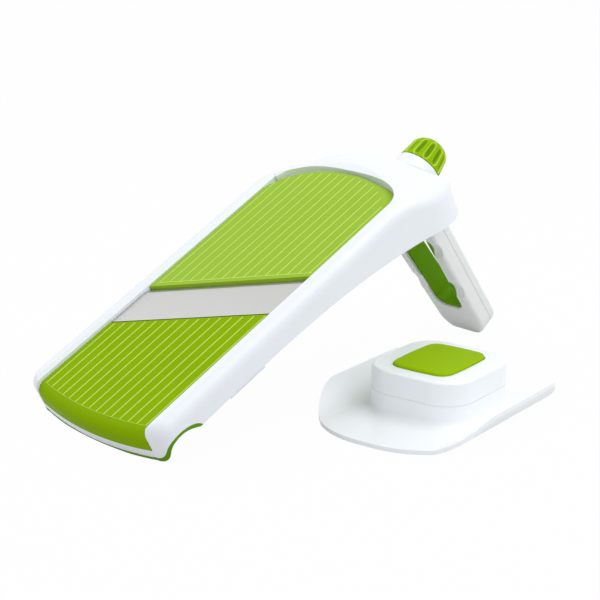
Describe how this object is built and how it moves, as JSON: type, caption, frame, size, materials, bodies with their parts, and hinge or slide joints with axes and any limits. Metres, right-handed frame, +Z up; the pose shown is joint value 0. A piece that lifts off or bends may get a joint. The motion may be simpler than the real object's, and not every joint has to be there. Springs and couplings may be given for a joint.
{
  "type": "mandoline slicer",
  "caption": "Sloped white and green mandoline slicer on a folding leg, with slanted blade, height knob and separate hand guard.",
  "frame": {"origin": "middle of the front foot strip where it stands on the table", "axes": "+Y along the slicer towards the raised knob end, +X to the right, +Z up from the table"},
  "size_m": [0.217, 0.3355, 0.1392],
  "materials": {
    "white_body": "moulded white plastic, soft gloss",
    "white_leg": "moulded warm white plastic, satin",
    "green_plastic": "moulded lime green plastic, soft gloss",
    "green_soft": "soft lime green grip rubber, matt",
    "grey_plastic": "moulded pale grey plastic, matt",
    "blade_steel": "ground stainless steel, satin",
    "bright_steel": "bright zinc-plated steel"
  },
  "bodies": {
    "frame": {"main_frame": "white_body", "foot_strip": "green_soft", "landing_plate": "green_plastic", "landing_plate_screws": "bright_steel", "blade": "blade_steel", "blade_screws": "bright_steel", "under_brace": "white_body", "brace_screws": "bright_steel", "spindle_bush": "grey_plastic", "leg_hinge_pins": "bright_steel"},
    "knob": {"knob": "green_plastic", "spindle": "bright_steel", "spindle_collar": "bright_steel"},
    "nut": {"lift_nut": "grey_plastic"},
    "runway": {"runway_plate": "green_plastic", "lift_bracket": "grey_plastic", "bracket_screws": "bright_steel"},
    "leg": {"leg_front_shell": "white_leg", "leg_rear_shell": "white_leg", "leg_grip_liner": "green_soft", "leg_screws": "bright_steel"},
    "guard": {"guard_flange": "white_body", "guard_lid": "white_body", "guard_lid_screws": "bright_steel", "press_spring": "bright_steel"},
    "pusher": {"press_cap": "green_plastic", "press_stem": "grey_plastic", "prong_plate": "grey_plastic", "prongs": "bright_steel"}
  },
  "joints": [
    {"name": "knob_turn", "type": "hinge", "parent": "frame", "child": "knob", "pos_m": [0, 0.26144, 0.1203], "axis": [0, 0.7524, 0.6587], "range_deg": [0, 570]},
    {"name": "nut_travel", "type": "slide", "parent": "frame", "child": "nut", "axis": [0, -0.7524, -0.6587], "range_m": [0, 0.01905]},
    {"name": "runway_fall", "type": "slide", "parent": "frame", "child": "runway", "axis": [0, 0.4571, -0.8894], "range_m": [0, 0.0046]},
    {"name": "leg_fold", "type": "hinge", "parent": "frame", "child": "leg", "pos_m": [0, 0.23245, 0.11698], "axis": [1, 0, 0], "range_deg": [-100, 0]},
    {"name": "guard_away", "type": "slide", "parent": "frame", "child": "guard", "axis": [1, 0, 0], "range_m": [0, 0.15]},
    {"name": "cap_press", "type": "slide", "parent": "guard", "child": "pusher", "axis": [0, 0, -1], "range_m": [0, 0.008], "stiffness_N_per_m": 300, "springref_m": -0.004, "deforming": ["press_spring"]}
  ],
  "couplings": [
    {"joint": "knob_turn", "follows": "runway_fall", "rad_per_m": 2164.3},
    {"joint": "nut_travel", "follows": "runway_fall", "ratio": 4.1336}
  ]
}
